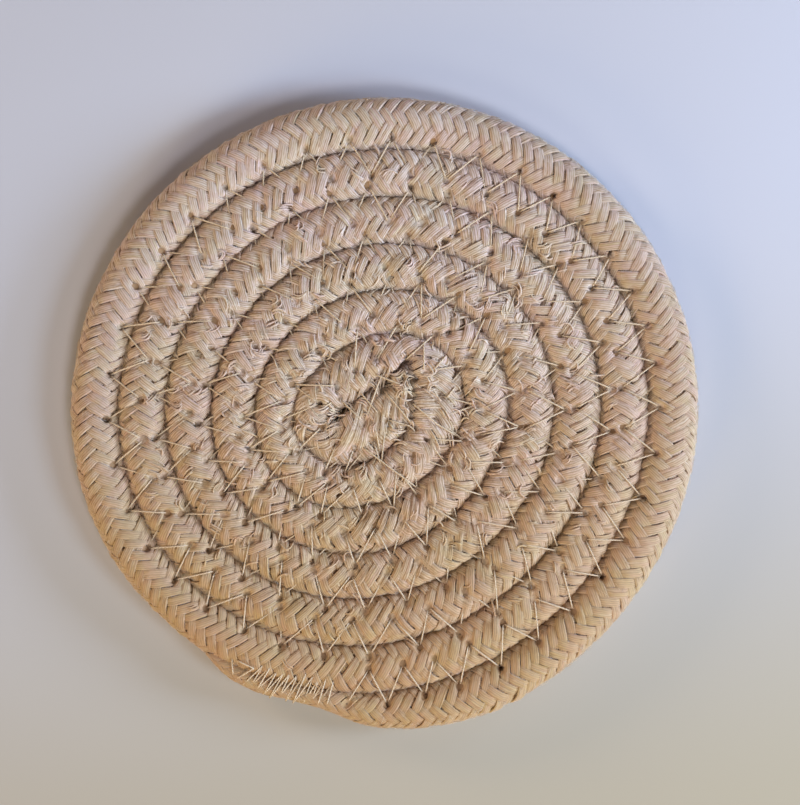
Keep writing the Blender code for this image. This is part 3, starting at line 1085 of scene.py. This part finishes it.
def fibre_mesh():
    """Short fibres that stand off the rope, each a curved three-sided tube."""
    on_rim = rng.random(FIBRES) < RIM_FIBRES
    rim_s = rng.uniform(RIM_START, ROPE_LENGTH - 0.03, FIBRES)
    any_s = rng.uniform(0.002, ROPE_LENGTH - 0.012, FIBRES)
    rim_angle = rng.uniform(-0.7, 0.8, FIBRES)
    top_angle = rng.uniform(-0.5, math.pi + 0.5, FIBRES)
    s, angle = np.where(on_rim, rim_s, any_s), np.where(on_rim, rim_angle, top_angle)
    span = rng.uniform(*FIBRE_LENGTH, FIBRES) * MM
    lean = rng.uniform(-1.0, 1.0, (FIBRES, 2))
    stand = rng.uniform(*FIBRE_RISE, FIBRES) * MM
    t = np.linspace(0.0, 1.0, 4)
    ahead = (span * lean[:, 0])[:, None] * t[None]
    turn = angle[:, None] + (span / FULL_HALF_WIDTH * lean[:, 1])[:, None] * t[None]
    bow = np.sin(math.pi * (0.15 + 0.6 * t))[None] - math.sin(0.15 * math.pi)
    paths = on_rope(s[:, None] + ahead, turn, FIBRE_ROOT - stand[:, None] * bow)
    rings = [round_rings(path, FIBRE_RADIUS, 3) for path in paths]
    return tube_mesh("loose_fibres", rings, np.linspace(0.0, 1.0, 4))


# -------------------- the object
cotton = cotton_material("braided_cotton")
core = piece("rope_core", core_mesh(), core_material())
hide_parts("rope_coil")
strands = []
for winding, letter in ((1, "a"), (-1, "b")):
    for index in range(STRANDS_EACH_WAY):
        name = f"strand_{letter}{index + 1}"
        strands.append(piece(name, strand_mesh(name, winding, index), cotton))
thread = thread_material()
for name, side, step, sides in (
    ("sewing_thread_top", 1, 0.48 * MM, 5),
    ("sewing_thread_under", -1, 0.9 * MM, 4),
):
    piece(name, sewing_thread_mesh(name, strands, side, step, sides), thread)
piece("loose_yarns", loose_yarn_mesh(strands), cotton)
piece("loose_fibres", fibre_mesh(), thread)


# -------------------- floor, lights and camera
def floor():
    """A pale table with painted light: cooler and brighter towards the top, warmer and darker towards
    the lower right.
    """
    mesh = bpy.data.meshes.new("floor")
    half, z = 2.0, -0.0001
    corners = [(-half, -half, z), (half, -half, z), (half, half, z), (-half, half, z)]
    mesh.from_pydata(corners, [], [(0, 1, 2, 3)])
    made = placed("floor", mesh)
    n = Nodes("pale_table")
    place = n.add("TexCoord").outputs["Object"]
    x, y, _ = n.add("SeparateXYZ", Vector=place).outputs
    light_drift = n.minus(n.times(x, 0.2), y)
    # Painted light: cool at the top, warm and darker at the lower right
    base = n.mix(n.ramp(light_drift, -0.035, 0.095), FLOOR_COOL_LIGHT, FLOOR_WARM_LIGHT)
    n.fill(n.shader, Base_Color=base, Roughness=0.7, Specular_IOR_Level=0.2)
    made.data.materials.append(n.material)


def soft_light(name, azimuth, elevation, distance, size, watts):
    """A round soft light aimed at the mat; watts are its red, green and blue power."""
    light = bpy.data.lights.new(name, "AREA")
    light.shape = "DISK"
    light.size = size
    light.energy = max(watts)
    light.color = [power / max(watts) for power in watts]
    made = placed(name, light)
    azimuth, elevation = math.radians(azimuth), math.radians(elevation)
    flat = math.cos(elevation)
    towards = Vector((flat * math.cos(azimuth), flat * math.sin(azimuth), math.sin(elevation)))
    made.location = towards * distance
    made.rotation_euler = towards.to_track_quat("Z", "Y").to_euler()


floor()
for light in (
    # name, azimuth, elevation, distance, size, watts
    ("window low", 0, 18, 0.65, 0.20, (2.60, 3.22, 4.10)),
    ("window high", 330, 38, 0.65, 0.20, (1.23, 1.50, 1.68)),
    ("front", 270, 38, 0.65, 0.20, (0.72, 0.66, 0.51)),
    ("lamp", 300, 62, 0.65, 0.20, (1.15, 1.05, 0.99)),
    ("wall", 150, 18, 0.65, 0.20, (1.85, 1.42, 1.00)),
    ("corner", 240, 18, 0.65, 0.20, (1.45, 1.05, 0.42)),
    ("sill", 30, 20, 0.30, 0.15, (0.14, 0.15, 0.18)),
):
    soft_light(*light)

world = bpy.data.worlds.new("room")
world.use_nodes = True
background = world.node_tree.nodes["Background"]
background.inputs["Color"].default_value = (0.80, 0.86, 1.0, 1.0)
background.inputs["Strength"].default_value = 0.02
bpy.context.scene.world = world

VIEW_WIDTH = 0.140  # across a plane near the mat's top
VIEW_CENTRE = (0.00273, 0.00185)
CAMERA_HEIGHT = 0.45
SENSOR_WIDTH = 36.0  # mm
camera_data = bpy.data.cameras.new("camera")
camera_data.sensor_fit = "HORIZONTAL"
camera_data.sensor_width = SENSOR_WIDTH
camera_data.lens = SENSOR_WIDTH * (CAMERA_HEIGHT - 0.8 * MAT_THICKNESS) / VIEW_WIDTH
camera = placed("camera", camera_data)
camera.location = (*VIEW_CENTRE, CAMERA_HEIGHT)
bpy.context.scene.camera = camera
bpy.context.scene.view_settings.view_transform = "Standard"
